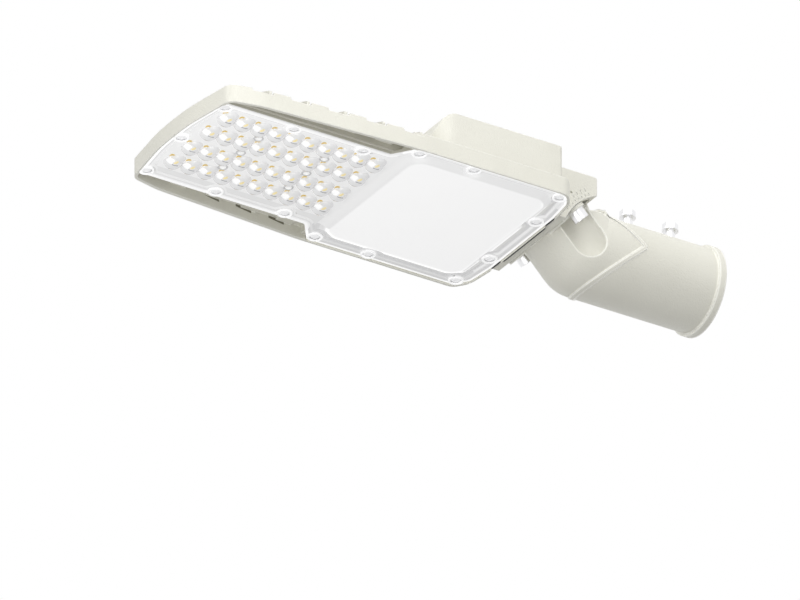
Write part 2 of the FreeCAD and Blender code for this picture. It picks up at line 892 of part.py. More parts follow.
def cable_gland():
    """Rubber bush that seals the cable way where it enters the driver bay."""
    seat = box_rear - wall
    plug = rod(cable_hole_r - 0.05, 7.0, Vec(seat, 0, cable_hole_z), ALONG_X)
    flange = rod(gland_r, 2.5, Vec(seat - 2.5, 0, cable_hole_z), ALONG_X)
    nose = Part.makeCone(gland_r - 4.5, gland_r - 3.0, 4.0, Vec(seat - 6.5, 0, cable_hole_z), ALONG_X)
    bore = rod(gland_bore_r, 30.0, Vec(seat - 10, 0, cable_hole_z), ALONG_X)
    return plug.fuse([flange, nose]).cut(bore).removeSplitter()


def elbow_form(radius):
    """Tube, bend and leg of the spigot as one plain form."""
    reach = saddle_r + 20.0
    centre = Vec(elbow_x, 0, 0)
    tube = rod(radius, -elbow_x, centre, ALONG_X)
    leg = rod(radius, reach, centre, radial(elbow_lean))
    return tube.fuse([Part.makeSphere(radius, centre), leg])


def cast_ribs():
    """Two raised lines on the spigot that meet on its flank."""
    cross_x = -73.5
    cross_z = 1.6
    form = elbow_form(tube_r + cast_rib_h)
    slabs = []
    for lean, low, high in ((elbow_lean + 2.0, 0.0, 60.0), (elbow_lean + 88.0, 0.0, 70.0)):
        slab = box((low, high), (-60, 60), (-cast_rib_w / 2, cast_rib_w / 2))
        slab.rotate(Vec(0, 0, 0), ALONG_Y, -lean)
        slab.translate(Vec(cross_x, 0, cross_z))
        slabs.append(form.common(slab))
    return slabs


def clamp_cylinder(radius, r_low, r_high, y):
    """Round bar along a clamp bolt, between two distances from the tilt axis."""
    x, z = polar(r_low, clamp_angle)
    return rod(radius, r_high - r_low, Vec(x, y, z), radial(clamp_angle))


def clamp_lugs(r_low, r_high):
    """Tongues of the spigot that the clamp bolts press against the saddle."""
    band = sector(r_low, r_high, *lug_angles, -clamp_y, clamp_y)
    between = sector(r_low, r_high, 90, 180, -80, 80)
    ends = [clamp_cylinder(lug_r, r_low - 5, r_high + 5, y).common(between) for y in (-clamp_y, clamp_y)]
    return [band] + ends


def elbow_hollow():
    """Cable way through the bend, between the two scoops."""
    half_w = clamp_y - scoop_r - spigot_wall
    half_h = math.sqrt(bore_r ** 2 - half_w ** 2)
    lean = math.radians(elbow_lean)
    start_x = 1.0 - pole_depth

    def leg_side(z):
        return elbow_x + (z * math.cos(lean) - half_h) / math.sin(lean)

    return side_prism([
        (start_x, half_h, 0.0),
        (leg_side(half_h), half_h, 0.0),
        (leg_side(-half_h), -half_h, hollow_bend_r),
        (start_x, -half_h, 0.0),
    ], -half_w, half_w)


def spigot():
    face_r = saddle_r - joint_gap
    shell_r = face_r - seat_shell
    outside = sector(face_r, 3 * face_r, elbow_top_angle, 200, -wide, wide)
    collar = rod(tube_r + collar_step, collar_len, Vec(-collar_len, 0, 0), ALONG_X)
    body = elbow_form(tube_r).fuse(cast_ribs() + [collar]).cut(outside)
    body = body.fuse(clamp_lugs(shell_r, face_r))
    for y in (-clamp_y, clamp_y):
        scoop = clamp_cylinder(scoop_r, scoop_end, 2 * scoop_end + scoop_r, y)
        x, z = polar(scoop_end, clamp_angle)
        scoop = scoop.fuse(Part.makeSphere(scoop_r, Vec(x, y, z)))
        keep = sector(shell_r, 2 * face_r, elbow_top_angle - 20, 200, -wide, wide)
        body = body.cut(scoop.cut(keep))
    cuts = both_sides(shoulder)
    cuts.append(elbow_hollow().common(rod(shell_r, 2 * wide, Vec(pivot_x, -wide, pivot_z), ALONG_Y)))
    cuts.append(rod(bore_r, pole_depth + 1, Vec(-pole_depth, 0, 0), ALONG_X))
    cuts.append(sector(shell_r - 2, face_r + 2, clamp_angle - cable_slot_angle,
                       clamp_angle + cable_slot_angle, -cable_slot_half_w, cable_slot_half_w))
    for y in (-clamp_y, clamp_y):
        spot_low = clamp_seat() - clamp_washer_t - clamp_head_h - 3.0
        cuts.append(clamp_cylinder(clamp_washer_r + spot_clearance, spot_low, clamp_seat(), y))
        cuts.append(clamp_cylinder(clamp_r + hole_clearance, spot_low, face_r + 5.0, y))
    for x in set_bolt_xs:
        cuts.append(rod(set_bolt_r + thread_clearance, 20, Vec(x, 0, bore_r - 5)))
    return body.cut(cuts).removeSplitter()


def clamp_seat():
    """Distance from the tilt axis of the flat that each clamp washer sits on."""
    return saddle_r - joint_gap - seat_shell + clamp_spot


def shoulder():
    """Relief beside the top of the spigot's seat, where the leg would stand proud."""
    return sector(saddle_r - shoulder_drop, 2 * saddle_r, elbow_top_angle - 1.0, shoulder_end_angle,
                  shoulder_y, wide)


def clamp_washers():
    washers = []
    for y in (-clamp_y, clamp_y):
        disc = clamp_cylinder(clamp_washer_r, clamp_seat() - clamp_washer_t, clamp_seat(), y)
        washers.append(disc.cut(clamp_cylinder(clamp_r + 0.2, 0, 90, y)))
    return Part.makeCompound(washers)


def clamp_bolts():
    bolts = []
    under = clamp_seat() - clamp_washer_t
    for y in (-clamp_y, clamp_y):
        head = clamp_cylinder(clamp_head_r, under - clamp_head_h, under, y)
        shank = clamp_cylinder(clamp_r, under - 1, clamp_seat() + clamp_len, y)
        x, z = polar(under - clamp_head_h, clamp_angle)
        socket = hexagon(clamp_hex_flat, 4.0, Vec(x, y, z), radial(clamp_angle))
        bolts.append(head.fuse(shank).cut(socket).removeSplitter())
    return Part.makeCompound(bolts)


def clamp_nuts():
    nuts = []
    low = saddle_r + saddle_wall + nut_clearance
    for y in (-clamp_y, clamp_y):
        x, z = polar(low, clamp_angle)
        nut = hexagon(clamp_nut_flat, clamp_nut_h, Vec(x, y, z), radial(clamp_angle), 90)
        nuts.append(nut.cut(clamp_cylinder(clamp_r + thread_clearance, 0, 100, y)))
    return Part.makeCompound(nuts)


def set_bolt(x):
    """Hex bolt with a flange, screwed down through the top of the spigot."""
    head_z = tube_r + set_bolt_stand
    head = hexagon(set_bolt_flat, set_bolt_head_h, Vec(x, 0, head_z))
    flange = rod(set_bolt_flange_r, set_bolt_flange_h, Vec(x, 0, head_z))
    shank = rod(set_bolt_r, head_z + 1 - bore_r, Vec(x, 0, bore_r))
    return head.fuse([flange, shank]).removeSplitter()


def write(name, shape):
    shape.exportStep("parts/" + name + ".step")
    print(name, "solids", len(shape.Solids), "volume", round(shape.Volume), "valid", shape.isValid())


write("spigot", spigot())
write("housing", housing())
write("lens_cover", lens_cover())
write("cover_gasket", gasket_ring())
write("cover_screws", cover_screws())
write("led_board", led_board())
write("led_chips", led_chips())
write("board_screws", board_screws())
write("driver", driver())
write("driver_screws", roof_screws(driver_ear_places(), driver_ear_t))
write("cord_clamp", cord_clamp())
write("cord_clamp_screws", roof_screws(clamp_foot_places(), clamp_foot[2]))
write("earth_tag", earth_tag())
write("earth_screw", roof_screws([earth_screw_place], earth_tag_t))
write("surge_protector", surge_protector())
write("terminal_block", terminal_block())
write("cable_gland", cable_gland())
write("clamp_bolts", clamp_bolts())
write("clamp_washers", clamp_washers())
write("clamp_nuts", clamp_nuts())
write("set_bolt_front", set_bolt(set_bolt_xs[0]))
write("set_bolt_rear", set_bolt(set_bolt_xs[1]))
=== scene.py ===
import bpy
import bmesh
import json
import math
from mathutils import Matrix, Vector


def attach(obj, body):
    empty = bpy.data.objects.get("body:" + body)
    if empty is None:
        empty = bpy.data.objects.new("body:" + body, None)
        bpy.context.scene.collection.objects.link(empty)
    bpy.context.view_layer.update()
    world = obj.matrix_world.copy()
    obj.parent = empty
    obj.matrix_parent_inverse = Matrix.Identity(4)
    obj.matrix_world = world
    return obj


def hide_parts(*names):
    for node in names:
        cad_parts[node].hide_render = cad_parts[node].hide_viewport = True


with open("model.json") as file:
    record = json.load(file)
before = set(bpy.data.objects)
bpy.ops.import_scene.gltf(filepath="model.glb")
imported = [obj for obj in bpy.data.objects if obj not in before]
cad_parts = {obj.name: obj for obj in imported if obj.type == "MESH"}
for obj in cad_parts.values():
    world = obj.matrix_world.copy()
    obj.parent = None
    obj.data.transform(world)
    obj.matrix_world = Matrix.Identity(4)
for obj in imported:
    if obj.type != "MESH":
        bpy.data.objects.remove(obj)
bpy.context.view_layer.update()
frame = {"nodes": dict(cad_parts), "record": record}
MM = 0.001

# Mesh helpers


def new_piece(name, verts, faces, mats, indices=None, smooth=30.0, down=False):
    """Mesh object from millimetre points. A sheet that faces down says so."""
    mesh = bpy.data.meshes.new(name)
    mesh.from_pydata([Vector(v) * MM for v in verts], [], faces)
    obj = bpy.data.objects.new(name, mesh)
    bpy.context.scene.collection.objects.link(obj)
    for mat in mats:
        mesh.materials.append(mat)
    if indices:
        for poly, index in zip(mesh.polygons, indices):
            poly.material_index = index
    bm = bmesh.new()
    bm.from_mesh(mesh)
    if down:
        for face in bm.faces:
            face.normal_update()
            if face.normal.z > 1e-6:
                face.normal_flip()
    else:
        bmesh.ops.recalc_face_normals(bm, faces=bm.faces)
    bm.to_mesh(mesh)
    bm.free()
    mesh.shade_smooth()
    mesh.set_sharp_from_angle(angle=math.radians(smooth))
    return obj


def revolve(profile, places, sides, z0, clamp=None):
    """Rounds turned from an (r, z) profile, one at each (x, y) place."""
    verts = []
    faces = []
    for cx, cy in places:
        rings = []
        for r, z in profile:
            if r == 0:
                rings.append([len(verts)])
                verts.append((cx, cy, z0 + z))
                continue
            ring = []
            for i in range(sides):
                a = 2 * math.pi * i / sides
                x, y = cx + r * math.cos(a), cy + r * math.sin(a)
                if clamp:
                    x, y = clamp(x, y)
                ring.append(len(verts))
                verts.append((x, y, z0 + z))
            rings.append(ring)
        for one, two in zip(rings, rings[1:]):
            for i in range(sides):
                j = (i + 1) % sides
                if len(one) == 1:
                    faces.append((one[0], two[i], two[j]))
                elif len(two) == 1:
                    faces.append((one[i], one[j], two[0]))
                else:
                    faces.append((one[i], one[j], two[j], two[i]))
    return verts, faces


def loft(loops, verts, faces):
    """Adds quads between closed loops of equal length."""
    last = None
    for loop in loops:
        ids = list(range(len(verts), len(verts) + len(loop)))
        verts.extend(loop)
        if last:
            n = len(ids)
            for i in range(n):
                j = (i + 1) % n
                faces.append((last[i], last[j], ids[j], ids[i]))
        last = ids


# Outlines of the cover


def inset_corners(corners, distance):
    """Corners of a clockwise or anticlockwise polygon, moved inward."""
    n = len(corners)
    area = sum(corners[i][0] * corners[(i + 1) % n][1] - corners[(i + 1) % n][0] * corners[i][1]
               for i in range(n))
    side = 1.0 if area > 0 else -1.0
    lines = []
    for i in range(n):
        a, b = corners[i], corners[(i + 1) % n]
        direction = Vector((b[0] - a[0], b[1] - a[1])).normalized()
        normal = Vector((-direction.y, direction.x)) * side
        lines.append((Vector(a[:2]) + normal * distance, direction))
    moved = []
    for i in range(n):
        (p, d), (q, e) = lines[i - 1], lines[i]
        cross = d.x * e.y - d.y * e.x
        t = ((q - p).x * e.y - (q - p).y * e.x) / cross
        point = p + d * t
        convex = cross * side > 0
        radius = corners[i][2]
        radius = max(radius - distance, 0.3) if convex else radius + distance
        moved.append((point.x, point.y, radius))
    return moved


def sample(corners, arc_steps, straight_steps):
    """Points round a rounded polygon, with a fixed number on each arc and straight."""
    n = len(corners)
    arcs = []
    for i in range(n):
        p = Vector(corners[i][:2])
        a = (Vector(corners[i - 1][:2]) - p).normalized()
        b = (Vector(corners[(i + 1) % n][:2]) - p).normalized()
        half = a.angle(b) / 2
        radius = corners[i][2]
        reach = radius / math.tan(half)
        centre = p + (a + b).normalized() * (radius / math.sin(half))
        start, end = p + a * reach, p + b * reach
        u, v = start - centre, end - centre
        turn = u.angle_signed(v)
        arc = []
        for k in range(arc_steps[i] + 1):
            w = u.copy()
            w.rotate(Matrix.Rotation(-turn * k / arc_steps[i], 2))
            arc.append(centre + w)
        arcs.append(arc)
    points = []
    for i in range(n):
        points += arcs[i]
        a, b = arcs[i][-1], arcs[(i + 1) % n][0]
        for k in range(1, straight_steps[i]):
            points.append(a.lerp(b, k / straight_steps[i]))
    return points


COVER = [
    (-488.6, 0.0, 400.0), (-488.2, 22.0, 120.0), (-481.8, 64.5, 5.0), (-328.0, 64.5, 4.0),
    (-314.0, 84.0, 3.0), (-179.0, 84.0, 9.0), (-169.2, 72.0, 12.0), (-166.2, 46.0, 2.0),
    (-166.2, -46.0, 2.0), (-169.2, -72.0, 12.0), (-179.0, -84.0, 9.0), (-314.0, -84.0, 3.0),
    (-328.0, -64.5, 4.0), (-481.8, -64.5, 5.0), (-488.2, -22.0, 120.0),
]
STEP = 0.9
SMOOTHINGS = 3
count = len(COVER)
arc_steps = [4, 6, 10, 8, 6, 12, 10, 3, 3, 10, 12, 6, 8, 10, 6]
straight_steps = []
for i in range(count):
    a, b = COVER[i], COVER[(i + 1) % count]
    straight_steps.append(max(2, int(math.dist(a[:2], b[:2]) / STEP)))

led_screw_xs = (-478.0, -414.0, -350.0)
LED_SCREW_Y = 58.4
bay_screws = ((-310.0, 77.5), (-260.0, 78.6), (-179.5, 77.2), (-175.0, 34.5))
screws = [(-482.0, 0.0)]
for x, y in [(x, LED_SCREW_Y) for x in led_screw_xs] + list(bay_screws):
    screws += [(x, y), (x, -y)]


def cover_loop(distance, z, scallop=0.0):
    """The cover's outline moved inward, bowed round the screw bosses at the scallop's radius."""
    points = sample(inset_corners(COVER, distance), arc_steps, straight_steps)
    if not scallop:
        return [(p.x, p.y, z) for p in points]
    n = len(points)
    area = sum(points[i].x * points[(i + 1) % n].y - points[(i + 1) % n].x * points[i].y
               for i in range(n))
    side = 1.0 if area > 0 else -1.0
    moved = []
    for i, p in enumerate(points):
        t = (points[(i + 2) % n] - points[i - 2]).normalized()
        normal = Vector((-t.y, t.x)) * side
        push = 0.0
        for c in screws:
            w = p - Vector(c)
            b = w.dot(normal)
            under = b * b - (w.length_squared - scallop ** 2)
            if under > 0 and abs(b) < scallop:
                push = max(push, -b + math.sqrt(under))
        moved.append(p + normal * push)
    for _ in range(SMOOTHINGS):
        moved = [(moved[i - 1] + moved[i] * 2 + moved[(i + 1) % n]) / 4 for i in range(n)]
    return [(p.x, p.y, z) for p in moved]


# Materials


def material(name, colour, roughness, metallic=0.0):
    """A new material with its nodes, its links and its shader."""
    mat = bpy.data.materials.new(name)
    mat.use_nodes = True
    nodes = mat.node_tree.nodes
    shader = nodes["Principled BSDF"]
    shader.inputs["Base Color"].default_value = (*colour, 1.0)
    shader.inputs["Roughness"].default_value = roughness
    shader.inputs["Metallic"].default_value = metallic
    return mat, nodes, mat.node_tree.links, shader


def noise(nodes, links, scale, detail=4.0, roughness=0.5):
    """Noise over the object, in cells per metre."""
    coords = nodes.new("ShaderNodeTexCoord")
    tex = nodes.new("ShaderNodeTexNoise")
    tex.inputs["Scale"].default_value = scale
    tex.inputs["Detail"].default_value = detail
    tex.inputs["Roughness"].default_value = roughness
    links.new(coords.outputs["Object"], tex.inputs["Vector"])
    return tex.outputs["Fac"]


def tint(nodes, links, shader, value, low, high, spread=(0.3, 0.7)):
    """Base colour that drifts between two tones."""
    ramp = nodes.new("ShaderNodeValToRGB")
    ramp.color_ramp.elements[0].position = spread[0]
    ramp.color_ramp.elements[1].position = spread[1]
    ramp.color_ramp.elements[0].color = (*low, 1.0)
    ramp.color_ramp.elements[1].color = (*high, 1.0)
    links.new(value, ramp.inputs["Fac"])
    links.new(ramp.outputs["Color"], shader.inputs["Base Color"])


def relief(nodes, links, shader, value, strength, distance, edge=0.0):
    """Fine unevenness; a given edge radius also rounds sharp edges to the light."""
    bump = nodes.new("ShaderNodeBump")
    bump.inputs["Strength"].default_value = strength
    bump.inputs["Distance"].default_value = distance
    links.new(value, bump.inputs["Height"])
    links.new(bump.outputs["Normal"], shader.inputs["Normal"])
    if edge:
        bevel = nodes.new("ShaderNodeBevel")
        bevel.samples = 4
        bevel.inputs["Radius"].default_value = edge
        links.new(bevel.outputs["Normal"], bump.inputs["Normal"])


# Edge radii and glow of the painted edge highlights on the castings
HOUSING_EDGE = 0.0013
SPIGOT_EDGE = 0.0024
SPIGOT_EDGE_GLOW = 0.18
FLAT_DOT = 0.992
SHARP_DOT = 0.93
MIX_BELOW = 6
MIX_ABOVE = 7
MIX_RESULT = 2


def edge_light(nodes, links, shader, colour, radius, glow):
    """Painted highlight: lighter tone and a little glow along the edges, standing in for the light a
    rounded coat catches there.
    """
    round_edge = nodes.new("ShaderNodeBevel")
    round_edge.samples = 6
    round_edge.inputs["Radius"].default_value = radius
    place = nodes.new("ShaderNodeNewGeometry")
    dot = nodes.new("ShaderNodeVectorMath")
    dot.operation = "DOT_PRODUCT"
    links.new(round_edge.outputs["Normal"], dot.inputs[0])
    links.new(place.outputs["Normal"], dot.inputs[1])
    amount = nodes.new("ShaderNodeMapRange")
    amount.inputs["From Min"].default_value = FLAT_DOT
    amount.inputs["From Max"].default_value = SHARP_DOT
    links.new(dot.outputs["Value"], amount.inputs["Value"])
    blend = nodes.new("ShaderNodeMix")
    blend.data_type = "RGBA"
    links.new(amount.outputs["Result"], blend.inputs["Factor"])
    links.new(shader.inputs["Base Color"].links[0].from_socket, blend.inputs[MIX_BELOW])
    blend.inputs[MIX_ABOVE].default_value = (*colour, 1.0)
    links.new(blend.outputs[MIX_RESULT], shader.inputs["Base Color"])
    shader.inputs["Emission Color"].default_value = (*colour, 1.0)
    strength = nodes.new("ShaderNodeMath")
    strength.operation = "MULTIPLY"
    strength.inputs[1].default_value = glow
    links.new(amount.outputs["Result"], strength.inputs[0])
    links.new(strength.outputs[0], shader.inputs["Emission Strength"])


PAINT = (0.76, 0.75, 0.66)
PAINT_LOW = (0.745, 0.735, 0.655)
PAINT_HIGH = (0.785, 0.775, 0.695)
# Tone of the painted edge highlight
PAINT_EDGE_HIGHLIGHT = (0.95, 0.945, 0.88)


def paint(name, edge, glow):
    """Sand-coloured paint of the castings, with a painted highlight along the edges."""
    mat, nodes, links, shader = material(name, PAINT, 0.40)
    tint(nodes, links, shader, noise(nodes, links, 18.0), PAINT_LOW, PAINT_HIGH)
    relief(nodes, links, shader, noise(nodes, links, 800.0, 2.0), 0.6, 0.0006, edge)
    edge_light(nodes, links, shader, PAINT_EDGE_HIGHLIGHT, edge, glow)
    return mat


def clear_white(name, colour, roughness, grain, glow=0.0):
    """White moulding under a thin clear coat, with a painted glow: emission that brightens it beyond what
    the lamps give.
    """
    mat, nodes, links, shader = material(name, colour, roughness)
    low = tuple(c * 0.985 for c in colour)
    tint(nodes, links, shader, noise(nodes, links, 30.0), low, colour)
    relief(nodes, links, shader, noise(nodes, links, 1500.0, 2.0), grain, 0.0002)
    shader.inputs["Coat Weight"].default_value = 0.3
    shader.inputs["Coat Roughness"].default_value = 0.05
    shader.inputs["Emission Color"].default_value = (1.0, 1.0, 1.0, 1.0)
    shader.inputs["Emission Strength"].default_value = glow
    return mat


def steel(name, colour, roughness, metallic=1.0, glow=0.0):
    """Bright metal; a given glow is painted light that brightens it beyond the lamps."""
    mat, nodes, links, shader = material(name, colour, roughness, metallic)
    shader.inputs["Emission Color"].default_value = (1.0, 1.0, 1.0, 1.0)
    shader.inputs["Emission Strength"].default_value = glow
    relief(nodes, links, shader, noise(nodes, links, 1200.0, 3.0), 0.1, 0.0002)
    tint(nodes, links, shader, noise(nodes, links, 60.0), tuple(c * 0.93 for c in colour), colour)
    return mat


def plain(name, colour, roughness, scale=80.0, glow=0.0):
    """Plain coloured surface."""
    mat, nodes, links, shader = material(name, colour, roughness)
    shader.inputs["Emission Color"].default_value = (*colour, 1.0)
    shader.inputs["Emission Strength"].default_value = glow
    tint(nodes, links, shader, noise(nodes, links, scale), tuple(c * 0.94 for c in colour), colour)
    relief(nodes, links, shader, noise(nodes, links, 1400.0, 2.0), 0.15, 0.0002)
    return mat


paint_mat = paint("cast_paint", HOUSING_EDGE, 0.0)
spigot_mat = paint("spigot_paint", SPIGOT_EDGE, SPIGOT_EDGE_GLOW)
# The cover and lens whites below glow a little: painted light. They are lit and shaded copies of one
# white: the bright edge tone is a painted highlight, the gleam a painted reflection, and the edge shade,
# groove and soft groove tones are painted shade.
cover_mat = clear_white("cover_clear", (0.94, 0.94, 0.94), 0.14, 0.02, 0.2)
panel_mat = clear_white("cover_frosted", (0.955, 0.955, 0.955), 0.35, 0.12, 0.29)
boss_mat = clear_white("cover_boss", (0.95, 0.95, 0.955), 0.08, 0.02, 0.3)
field_mat = clear_white("cover_field", (0.94, 0.94, 0.94), 0.14, 0.02, 0.17)
slope_mat = clear_white("cover_slope", (0.93, 0.93, 0.93), 0.2, 0.02, 0.165)
edge_shade_mat = clear_white("cover_edge_shade", (0.90, 0.90, 0.90), 0.2, 0.02, 0.11)
edge_highlight_mat = clear_white("cover_edge_highlight", (0.96, 0.96, 0.96), 0.2, 0.02, 0.42)
dome_mat = clear_white("lens_dome", (0.89, 0.89, 0.895), 0.08, 0.02, 0.08)
gleam_mat = clear_white("lens_gleam", (0.96, 0.96, 0.96), 0.2, 0.02, 0.25)
groove_shade_mat = clear_white("cover_groove_shade", (0.70, 0.70, 0.705), 0.2, 0.02, 0.02)
soft_shade_mat = clear_white("cover_soft_groove_shade", (0.86, 0.86, 0.865), 0.2, 0.02, 0.06)
shade_mat = plain("lens_shade", (0.42, 0.42, 0.44), 0.3)
screw_mat = steel("screw_steel", (0.86, 0.86, 0.87), 0.25, 0.3, 0.16)
bolt_mat = steel("bolt_zinc", (0.90, 0.90, 0.91), 0.28)
board_mat = plain("board_white", (0.86, 0.86, 0.86), 0.35)
# Both phosphor tones glow a little: painted light; the deeper tone is a darker copy for the chips' dimmer
# images in the domes: painted shade.
phosphor_mat = plain("phosphor", (0.93, 0.79, 0.43), 0.4, 400.0, 0.2)
phosphor_shade_mat = plain("phosphor_painted_shade", (0.74, 0.54, 0.17), 0.4, 400.0, 0.2)
rubber_mat = plain("rubber", (0.03, 0.03, 0.03), 0.6)
# Darker paint for the shaded recess strips and the cover's side band: painted shade
recess_shade_mat = plain("painted_recess_shade", (0.60, 0.585, 0.51), 0.5)
slot_mat = plain("slot_shadow", (0.20, 0.19, 0.14), 0.6)
silicone_mat = plain("silicone", (0.75, 0.75, 0.73), 0.55)
driver_mat = plain("driver_grey", (0.62, 0.63, 0.64), 0.4)
plastic_mat = plain("terminal_white", (0.82, 0.82, 0.80), 0.35)

LOOKS = {
    "painted_casting": paint_mat, "clear_cover": cover_mat, "silicone": silicone_mat,
    "screw_steel": screw_mat, "bolt_steel": bolt_mat, "board_white": board_mat,
    "led_phosphor": phosphor_mat, "driver_case": driver_mat, "surge_case": plastic_mat,
    "terminal_plastic": plastic_mat, "rubber_gland": rubber_mat,
}
for part in frame["record"]["subparts"]:
    obj = frame["nodes"][part["node"]]
    obj.data.materials.clear()
    look = spigot_mat if part["node"] == "spigot" else LOOKS[part["material_slot"]]
    obj.data.materials.append(look)

# The lens cover, from its rim inward

PLANE = -6.2
FLOOR = PLANE + 1.6
verts, faces = [], []
rim = [
    (0.0, -3.0, 0.0), (0.0, PLANE + 0.7, 0.0), (0.15, PLANE + 0.15, 0.0), (0.5, PLANE, 0.0),
    (2.4, PLANE, 0.0), (3.0, PLANE + 0.3, 0.0), (3.8, PLANE + 0.6, 0.0), (4.4, PLANE + 0.55, 0.0),
    (5.7, PLANE + 0.55, 7.1), (6.2, PLANE + 0.8, 7.6), (7.0, FLOOR - 0.2, 8.4), (7.6, FLOOR, 9.0),
]
# Tones of the rim's rows on each side of the cover are painted light and shade: brighter tones are painted
# highlight, darker ones painted shade, set by how the light falls on that side.
COVER_TONE, BOSS_TONE, RECESS_SHADE_TONE, SOFT_SHADE_TONE, EDGE_HIGHLIGHT_TONE, SHADE_TONE, SLOPE_TONE = range(7)
RIM_MATS = [cover_mat, boss_mat, recess_shade_mat, soft_shade_mat, edge_highlight_mat, edge_shade_mat, slope_mat]
BANDS = {
    "front": [RECESS_SHADE_TONE] + [EDGE_HIGHLIGHT_TONE] * 3 + [COVER_TONE] + [SHADE_TONE] * 2 + [COVER_TONE] * 4,
    "near": [RECESS_SHADE_TONE] + [BOSS_TONE] * 4 + [COVER_TONE] * 2 + [SHADE_TONE] * 2 + [SLOPE_TONE] * 2,
    "far": [RECESS_SHADE_TONE] + [SHADE_TONE] * 2 + [COVER_TONE] + [EDGE_HIGHLIGHT_TONE] * 2 + [BOSS_TONE]
           + [COVER_TONE] * 4,
    "bay_near": [RECESS_SHADE_TONE] + [EDGE_HIGHLIGHT_TONE] * 3 + [SOFT_SHADE_TONE] * 3 + [SHADE_TONE] * 2 + [SOFT_SHADE_TONE] * 2,
    "bay_far": [RECESS_SHADE_TONE] + [COVER_TONE] * 2 + [EDGE_HIGHLIGHT_TONE] + [COVER_TONE] * 2 + [SLOPE_TONE] * 5,
    "rear": [RECESS_SHADE_TONE] + [EDGE_HIGHLIGHT_TONE] * 3 + [SOFT_SHADE_TONE] * 3 + [SHADE_TONE] + [COVER_TONE] * 2
            + [SHADE_TONE],
}
FRONT_X, FRONT_HALF = -478.0, 55.0
LED_END_X = -322.0
REAR_X, REAR_HALF = -176.0, 60.0
loops = [cover_loop(*row) for row in rim]
loft(loops, verts, faces)
per_band = len(loops[0])


def band(i):
    """Painted light and shade tone of one face of the rim, by its row and by the side of the cover it is
    on.
    """
    x, y, _ = verts[faces[i][0]]
    if x < FRONT_X and abs(y) < FRONT_HALF:
        side = "front"
    elif x < LED_END_X:
        side = "near" if y > 0 else "far"
    elif x > REAR_X and abs(y) < REAR_HALF:
        side = "rear"
    else:
        side = "bay_near" if y > 0 else "bay_far"
    return BANDS[side][i // per_band]


flange = new_piece("cover_flange", verts, faces, RIM_MATS, [band(i) for i in range(len(faces))],
                   smooth=60.0)

inner = loops[-1]
SPLIT = -319.0
led_side = {p for p in inner if p[0] <= SPLIT}
bay_side = {p for p in inner if p[0] > SPLIT}


def in_order(points, loop):
    """The points of one side of the split as one unbroken run."""
    flags = [p in points for p in loop]
    start = next(i for i in range(len(loop)) if flags[i] and not flags[i - 1])
    run = []
    for k in range(len(loop)):
        i = (start + k) % len(loop)
        if not flags[i]:
            break
        run.append(loop[i])
    return run


led_run = in_order(led_side, inner)
bay_run = in_order(bay_side, inner)
led_end_ys = (led_run[0][1], led_run[-1][1])
led_edge = [(SPLIT, led_end_ys[0], FLOOR)] + led_run + [(SPLIT, led_end_ys[1], FLOOR)]

# The flat field with a round opening under each dome, moved a little to where the photo has them
OFFSET = (0.4, -2.4)
LENS_PITCH = 15.2
HALF_PITCH = LENS_PITCH / 2
LENS_XS = [-467.0 + OFFSET[0] + LENS_PITCH * i for i in range(10)]
LENS_YS = [y + OFFSET[1] for y in (-39.5, -13.8, 13.8, 39.5)]
CELL_YS = [y + OFFSET[1] for y in (-52.35, -26.65, 0.0, 26.65, 52.35)]
LENS_R = 7.6
OVERLAP = 0.1
cell_x0 = LENS_XS[0] - HALF_PITCH
cell_x1 = LENS_XS[-1] + HALF_PITCH
tiles = [
    (cell_x0, CELL_YS[0]), (cell_x1, CELL_YS[0]), (cell_x1, CELL_YS[-1]), (cell_x0, CELL_YS[-1]),
]


def star(points, angle, centre):
    """Where a ray from the centre leaves a closed outline."""
    d = Vector((math.cos(angle), math.sin(angle)))
    best = 0.0
    n = len(points)
    for i in range(n):
        a = Vector(points[i][:2]) - centre
        b = Vector(points[(i + 1) % n][:2]) - centre
        e = b - a
        cross = d.x * e.y - d.y * e.x
        if abs(cross) < 1e-12:
            continue
        t = (a.x * e.y - a.y * e.x) / cross
        s = (a.x * d.y - a.y * d.x) / cross
        if -1e-9 <= s <= 1 + 1e-9 and t > best:
            best = t
    return centre + d * best


field_centre = Vector(((cell_x0 + cell_x1) / 2, 0.0))
FIELD_RAYS = 720
STRIP_Y = 46.0
turns = [2 * math.pi * i / FIELD_RAYS for i in range(FIELD_RAYS)]
for p in tiles + [led_edge[0][:2], led_edge[-1][:2]]:
    turns.append(math.atan2(p[1] - field_centre.y, p[0] - field_centre.x) % (2 * math.pi))
turns.sort()
verts, faces = [], []
loft([[(*star(outline, t, field_centre), FLOOR) for t in turns] for outline in (led_edge, tiles)],
     verts, faces)
strip_faces = len(faces)
SIDES = 28
for cx in LENS_XS:
    for ri, cy in enumerate(LENS_YS):
        x0, x1 = cx - HALF_PITCH, cx + HALF_PITCH
        y0, y1 = CELL_YS[ri], CELL_YS[ri + 1]
        square, ring = [], []
        for i in range(SIDES):
            a = 2 * math.pi * (i + 0.5) / SIDES
            c, s = math.cos(a), math.sin(a)
            reach = min(((x1 if c > 0 else x0) - cx) / c, ((y1 if s > 0 else y0) - cy) / s)
            square.append((cx + c * reach, cy + s * reach, FLOOR))
            ring.append((cx + c * (LENS_R - OVERLAP), cy + s * (LENS_R - OVERLAP), FLOOR))
        base = len(verts)
        verts += square + ring
        for i in range(SIDES):
            j = (i + 1) % SIDES
            faces.append((base + i, base + j, base + SIDES + j, base + SIDES + i))
        for px, py in ((x0, y0), (x1, y0), (x1, y1), (x0, y1)):
            near = sorted(range(SIDES), key=lambda i: math.dist(square[i][:2], (px, py)))[:2]
            faces.append((base + near[0], base + near[1], len(verts)))
            verts.append((px, py, FLOOR))
